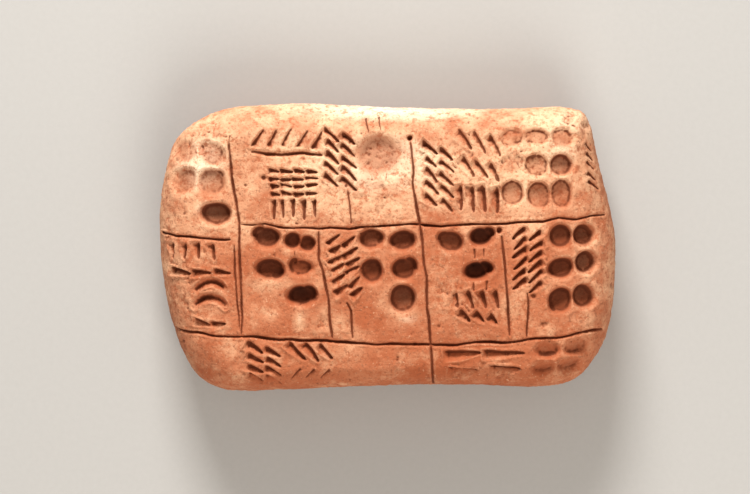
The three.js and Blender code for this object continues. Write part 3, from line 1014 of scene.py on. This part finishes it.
def closed_mesh(name: str, points: Array, quads: Array, triangles: Array,
                values: dict[str, Array]) -> bpy.types.Object:
    """Put arrays of millimetres into a mesh object at the origin.

    Args:
        name: the piece's name.
        points: places, with three columns.
        quads: four indices a face.
        triangles: three indices a face.
        values: named values, one for each place.

    Returns:
        The new object, linked to the scene.
    """
    corners = np.concatenate([quads.ravel(), triangles.ravel()])
    starts = np.concatenate([np.arange(len(quads)) * 4, quads.size + np.arange(len(triangles)) * 3])
    mesh = bpy.data.meshes.new(name)
    mesh.vertices.add(len(points))
    mesh.vertices.foreach_set("co", (points * MM).astype(np.float32).ravel())
    mesh.loops.add(len(corners))
    mesh.loops.foreach_set("vertex_index", corners.astype(np.int32))
    mesh.polygons.add(len(starts))
    mesh.polygons.foreach_set("loop_start", starts.astype(np.int32))
    mesh.update(calc_edges=True)
    for key, amounts in values.items():
        attribute = mesh.attributes.new(key, "FLOAT", "POINT")
        attribute.data.foreach_set("value", amounts.astype(np.float32))
    piece = bpy.data.objects.new(name, mesh)
    bpy.context.scene.collection.objects.link(piece)
    return piece


@dataclass
class Desk:
    """A workbench for one node tree: adds nodes and joins them."""

    tree: bpy.types.NodeTree

    def add(self, kind: str, values: dict[str | int, Source] | None = None,
            **settings: str | bpy.types.NodeTree) -> bpy.types.Node:
        """Add a node, choose its settings and fill its inputs.

        Args:
            kind: the node's kind.
            values: what goes into each input, by name or by number.
            settings: the node's own settings.

        Returns:
            The node.
        """
        node = self.tree.nodes.new(kind)
        for name, setting in settings.items():
            setattr(node, name, setting)
        for key, source in (values or {}).items():
            self.join(source, node.inputs[key])
        return node

    def join(self, source: Source, socket: Socket) -> None:
        """Link a socket, or set it where the source is a plain value.

        Args:
            source: the socket or the value.
            socket: the input that takes it.
        """
        if isinstance(source, Socket):
            self.tree.links.new(source, socket)
        else:
            socket.default_value = source

    def noise(self, coordinates: Socket, scale: float, detail: float, roughness: float) -> Socket:
        """The value of a noise texture, with a scale in waves a metre."""
        values = {"Vector": coordinates, "Scale": scale, "Detail": detail, "Roughness": roughness}
        return self.add("ShaderNodeTexNoise", values).outputs["Fac"]

    def grain(self, coordinates: Socket, scale: float) -> dict[str, Socket]:
        """Place the shared grain, with a scale in waves a metre, and give its outputs by name."""
        values = {"Vector": coordinates, "Scale": scale}
        return dict(self.add("ShaderNodeGroup", values, node_tree=grain_group()).outputs.items())

    def value(self, name: str) -> Socket:
        """A value that the mesh holds at each of its places."""
        return self.add("ShaderNodeAttribute", attribute_name=name).outputs["Fac"]

    def span(self, source: Source, start: float, end: float, most: float = 1.0,
             least: float = 0.0) -> Socket:
        """Stretch the source from between start and end to between least and most, and no further."""
        values = {"Value": source, "From Min": start, "From Max": end, "To Min": least, "To Max": most}
        return self.add("ShaderNodeMapRange", values).outputs["Result"]

    def times(self, first: Source, second: Source) -> Socket:
        """Multiply two values."""
        return self.add("ShaderNodeMath", {0: first, 1: second}, operation="MULTIPLY").outputs["Value"]

    def mix(self, share: Source, lower: Source, upper: Source) -> Socket:
        """Lay a share of the upper colour over the lower one."""
        values = {"Factor": share, MIX_LOWER: lower, MIX_UPPER: upper}
        return self.add("ShaderNodeMix", values, data_type="RGBA").outputs[MIX_RESULT]


def grain_group() -> bpy.types.NodeTree:
    """The shared group of a fine grain: its height, and a mask of specks.

    Returns:
        The group, which is made once.
    """
    name = "fine_grain"
    if name in bpy.data.node_groups:
        return bpy.data.node_groups[name]
    tree = bpy.data.node_groups.new(name, "ShaderNodeTree")
    tree.interface.new_socket("Vector", in_out="INPUT", socket_type="NodeSocketVector")
    tree.interface.new_socket("Scale", in_out="INPUT", socket_type="NodeSocketFloat")
    tree.interface.new_socket("Height", in_out="OUTPUT", socket_type="NodeSocketFloat")
    tree.interface.new_socket("Speck", in_out="OUTPUT", socket_type="NodeSocketFloat")
    desk = Desk(tree)
    start = desk.add("NodeGroupInput").outputs
    shift = desk.add("ShaderNodeVectorMath", {0: start["Vector"], 1: (3.1, 5.7, 1.3)}, operation="ADD")
    height = {"Vector": start["Vector"], "Scale": start["Scale"], "Detail": 4.0, "Roughness": 0.7}
    speck = {"Vector": shift.outputs["Vector"], "Scale": start["Scale"], "Detail": 2.0}
    desk.add("NodeGroupOutput", {
        "Height": desk.add("ShaderNodeTexNoise", height).outputs["Fac"],
        "Speck": desk.add("ShaderNodeTexNoise", speck).outputs["Fac"],
    })
    return tree


@dataclass(frozen=True)
class ClayFinish:
    """Dried clay: pink-tan, with buff wear and painted light, brown dirt and painted shade in the hollows,
    and darker stains.

    Scales are in waves a metre, and tooth is the height of the coarse grain in metres.
    """

    body: Colour = paint(190, 126, 93)
    warm: Colour = paint(170, 99, 66)
    buff: Colour = paint(232, 190, 155)
    # The near-white tone also serves as painted highlight, and the browns after it as painted shade in the
    # marks.
    chalk_and_highlight: Colour = paint(245, 218, 190)
    dirt_and_shade: Colour = paint(94, 46, 24)
    painted_deep_shade: Colour = paint(44, 18, 9)
    stain_and_shade: Colour = paint(166, 91, 57)
    grit: Colour = paint(244, 212, 180)
    speck: Colour = paint(124, 78, 56)
    cloud_scale: float = 48.0
    blotch_scale: float = 95.0
    mottle_scale: float = 210.0
    coarse_scale: float = 760.0
    grain_scale: float = 1900.0
    tooth: float = 0.0003
    fine_share: float = 0.35
    shine: float = 0.3

    def layers(self, desk: Desk, coordinates: Socket, mottle: Socket, coarse: dict[str, Socket],
               grain: dict[str, Socket]) -> list[tuple[Socket, Colour]]:
        """The colours over the body, from the lowest: wear and painted light, stains, grain, and dirt and
        painted shade in the marks.

        Args:
            desk: the material's workbench.
            coordinates: where the material is.
            mottle: the small mottle.
            coarse: the coarse grain.
            grain: the fine grain.

        Returns:
            The share and the colour of each layer.
        """
        span, times = desk.span, desk.times
        clouds = desk.noise(coordinates, self.cloud_scale, 4, 0.6)
        blotches = desk.noise(coordinates, self.blotch_scale, 4, 0.7)
        carved, hollow, fine = (desk.value(name) for name in ("carved", "hollow", "fine_hollow"))
        rough, pale, stained = (desk.value(name) for name in ("rough", "pale", "stained"))
        bare_and_shaded = span(pale, 0.95, 0.35, 1.0, 0.35)
        return [
            (span(clouds, 0.36, 0.62), self.warm),
            (span(clouds, 0.44, 0.3, 0.55), self.buff),
            # pale ovals: buff wear, and painted light on the lit top field, the top edge and both ends
            (times(pale, span(mottle, 0.25, 0.6)), self.buff),
            # painted highlight: a near-white tone where the pale ovals are strongest
            (times(span(pale, 0.75, 1.0), span(clouds, 0.35, 0.6)), self.chalk_and_highlight),
            (span(mottle, 0.52, 0.74, 0.5), self.buff),
            # away from the pale ovals: stain mottle, partly painted shade that darkens the middle and
            # lower field
            (times(bare_and_shaded, span(mottle, 0.48, 0.28, 0.6)), self.stain_and_shade),
            (times(stained, span(blotches, 0.35, 0.65, 0.85)), self.stain_and_shade),
            (times(bare_and_shaded, span(blotches, 0.58, 0.72, 0.4)), self.stain_and_shade),
            (times(rough, span(coarse["Height"], 0.4, 0.65, 0.6)), self.buff),
            (times(span(fine, -0.04, -0.16, 0.3), span(blotches, 0.5, 0.7)), self.buff),
            (span(coarse["Height"], 0.48, 0.36, 0.7), self.warm),
            (span(coarse["Speck"], 0.64, 0.71, 0.4), self.speck),
            (span(grain["Speck"], 0.65, 0.73, 0.25), self.grit),
            (span(grain["Height"], 0.45, 0.33, 0.6), self.speck),
            # painted shade: the stain tone darkens the hollows and the floors of the marks
            (span(hollow, 0.08, 0.6, 0.6), self.stain_and_shade),
            (span(carved, 0.25, 0.7, 0.45), self.stain_and_shade),
            # dirt and painted shade in thin grooves and marks, and near-black painted shade in the deepest
            # holes
            (span(fine, 0.045, 0.15, 0.8), self.dirt_and_shade),
            (span(carved, 0.7, 1.9, 0.65), self.dirt_and_shade),
            (span(carved, 1.7, 2.7, 0.8), self.painted_deep_shade),
        ]

    def build(self) -> bpy.types.Material:
        """Lay the colours over each other and give the surface its tooth.

        Returns:
            The material.
        """
        material = bpy.data.materials.new("dried_clay")
        material.use_nodes = True
        desk = Desk(material.node_tree)
        coordinates = desk.add("ShaderNodeTexCoord").outputs["Object"]
        mottle = desk.noise(coordinates, self.mottle_scale, 5, 0.65)
        coarse = desk.grain(coordinates, self.coarse_scale)
        grain = desk.grain(coordinates, self.grain_scale)
        colour = self.body
        for share, tint in self.layers(desk, coordinates, mottle, coarse, grain):
            colour = desk.mix(share, colour, tint)
        bump = desk.add("ShaderNodeBump", {
            "Strength": 1.0, "Distance": self.tooth, "Height": coarse["Height"],
        })
        fine_bump = desk.add("ShaderNodeBump", {
            "Strength": 1.0, "Distance": self.tooth * self.fine_share, "Height": grain["Height"],
            "Normal": bump.outputs["Normal"],
        })
        shader = material.node_tree.nodes["Principled BSDF"].inputs
        desk.join(colour, shader["Base Color"])
        desk.join(desk.span(mottle, 0.25, 0.75, 0.96, 0.78), shader["Roughness"])
        desk.join(self.shine, shader["Specular IOR Level"])
        desk.join(fine_bump.outputs["Normal"], shader["Normal"])
        return material


@dataclass(frozen=True)
class FloorFinish:
    """A pale matt board with hardly any tooth."""

    board: Colour = paint(180, 179, 177)
    shade: Colour = paint(173, 172, 170)
    grain_scale: float = 900.0
    roughness: float = 0.9

    def build(self) -> bpy.types.Material:
        """Blend two close greys by a fine grain.

        Returns:
            The material.
        """
        material = bpy.data.materials.new("pale_board")
        material.use_nodes = True
        desk = Desk(material.node_tree)
        coordinates = desk.add("ShaderNodeTexCoord").outputs["Object"]
        height = desk.grain(coordinates, self.grain_scale)["Height"]
        shader = material.node_tree.nodes["Principled BSDF"].inputs
        desk.join(desk.mix(height, self.board, self.shade), shader["Base Color"])
        desk.join(self.roughness, shader["Roughness"])
        return material


@dataclass
class Tablet:
    """The finished tablet, dressed over its plain solid."""

    surface: TabletSurface
    finish: ClayFinish = ClayFinish()

    def build(self) -> bpy.types.Object:
        """Make the skin, dress it and let it stand for the solid.

        Returns:
            The finished piece.
        """
        piece = self.surface.build()
        piece.data.materials.append(self.finish.build())
        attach(piece, "root")
        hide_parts(NODE)
        return piece


@dataclass(frozen=True)
class Softbox:
    """A soft area light that faces the tablet, in metres and watts."""

    name: str
    place: Point
    size: Place
    power: float
    tint: Point

    def build(self) -> None:
        """Hang the light and turn it to the tablet."""
        light = bpy.data.lights.new(self.name, "AREA")
        light.shape = "RECTANGLE"
        light.size, light.size_y = self.size
        light.energy = self.power
        light.color = self.tint
        lamp = bpy.data.objects.new(self.name, light)
        lamp.location = self.place
        lamp.rotation_euler = (Vector((0, 0, 0.01)) - lamp.location).to_track_quat("-Z", "Y").to_euler()
        bpy.context.scene.collection.objects.link(lamp)


@dataclass
class Studio:
    """The pale floor, the soft lights and the camera that looks down on the tablet.

    Photo scale is in millimetres a pixel. Edge height is that of the tablet's widest outline, where
    the camera sees this scale.
    """

    floor_size: float = 3.0
    photo_scale: float = 0.2
    photo_middle: Place = (387.75, 248.3)
    camera_distance: float = 800.0
    camera_tilt: float = 3.5
    sensor: float = 36.0
    aim_height: float = 14.0
    edge_height: float = 10.5
    sky: Colour = (1.0, 0.92, 0.84, 1.0)
    sky_strength: float = 0.44
    softboxes: tuple[Softbox, ...] = (
        Softbox("top_softbox", (-0.09, 0.62, 0.33), (0.26, 0.18), 6.7, (1.0, 0.98, 0.95)),
        Softbox("front_softbox", (0.14, -0.42, 0.46), (0.4, 0.4), 2.3, (1.0, 0.95, 0.88)),
    )

    def floor(self) -> bpy.types.Object:
        """A broad flat sheet, worked out on a grid of two by two places.

        Returns:
            The floor.
        """
        x, y = np.meshgrid([-1.0, 1.0], [-1.0, 1.0])
        points = np.stack([x, y, np.zeros_like(x)], axis=-1).reshape(-1, 3) * self.floor_size / 2 / MM
        quads = np.array([[0, 1, 3, 2]])
        sheet = closed_mesh("floor", points, quads, np.zeros((0, 3), dtype=int), {})
        sheet.data.materials.append(FloorFinish().build())
        return sheet

    def lights(self) -> None:
        """A broad light from the top edge, a weaker one from the bottom, and some from all round."""
        for softbox in self.softboxes:
            softbox.build()
        world = bpy.data.worlds.new("studio")
        world.use_nodes = True
        background = world.node_tree.nodes["Background"].inputs
        background["Color"].default_value = self.sky
        background["Strength"].default_value = self.sky_strength
        bpy.context.scene.world = world

    def camera(self) -> None:
        """A long lens nearly square to the face, placed so that the tablet fills its part of the photo."""
        middle_x, middle_y = self.photo_middle
        aim = Vector((
            (PHOTO_WIDTH / 2 - middle_x) * self.photo_scale,
            (middle_y - PHOTO_HEIGHT / 2) * self.photo_scale,
            self.aim_height,
        ))
        tilt = math.radians(self.camera_tilt)
        away = Vector((0, math.sin(tilt), math.cos(tilt))) * self.camera_distance
        data = bpy.data.cameras.new("camera")
        data.sensor_width = self.sensor
        edge_distance = self.camera_distance + self.aim_height - self.edge_height
        data.lens = self.sensor * edge_distance / (PHOTO_WIDTH * self.photo_scale)
        data.clip_start = 0.01
        camera = bpy.data.objects.new("camera", data)
        camera.location = (aim + away) * MM
        camera.rotation_euler = (-tilt, 0.0, 0.0)
        bpy.context.scene.collection.objects.link(camera)
        bpy.context.scene.camera = camera


def main() -> None:
    """Build the studio and the tablet."""
    studio = Studio()
    studio.camera()
    floor = studio.floor()
    studio.lights()
    bpy.context.scene.view_settings.view_transform = "Standard"
    bpy.context.scene.view_settings.look = "Medium High Contrast"

    low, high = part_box(NODE)
    length, width, thickness = ((high[axis] - low[axis]) / MM for axis in range(3))
    form = TabletForm(length, width, thickness)
    tablet = Tablet(TabletSurface(form, Inscription())).build()
    for piece in (floor, tablet):
        mesh = piece.data
        log.info("%s: %d vertices, %d faces", piece.name, len(mesh.vertices), len(mesh.polygons))


if __name__ == "__main__":
    main()
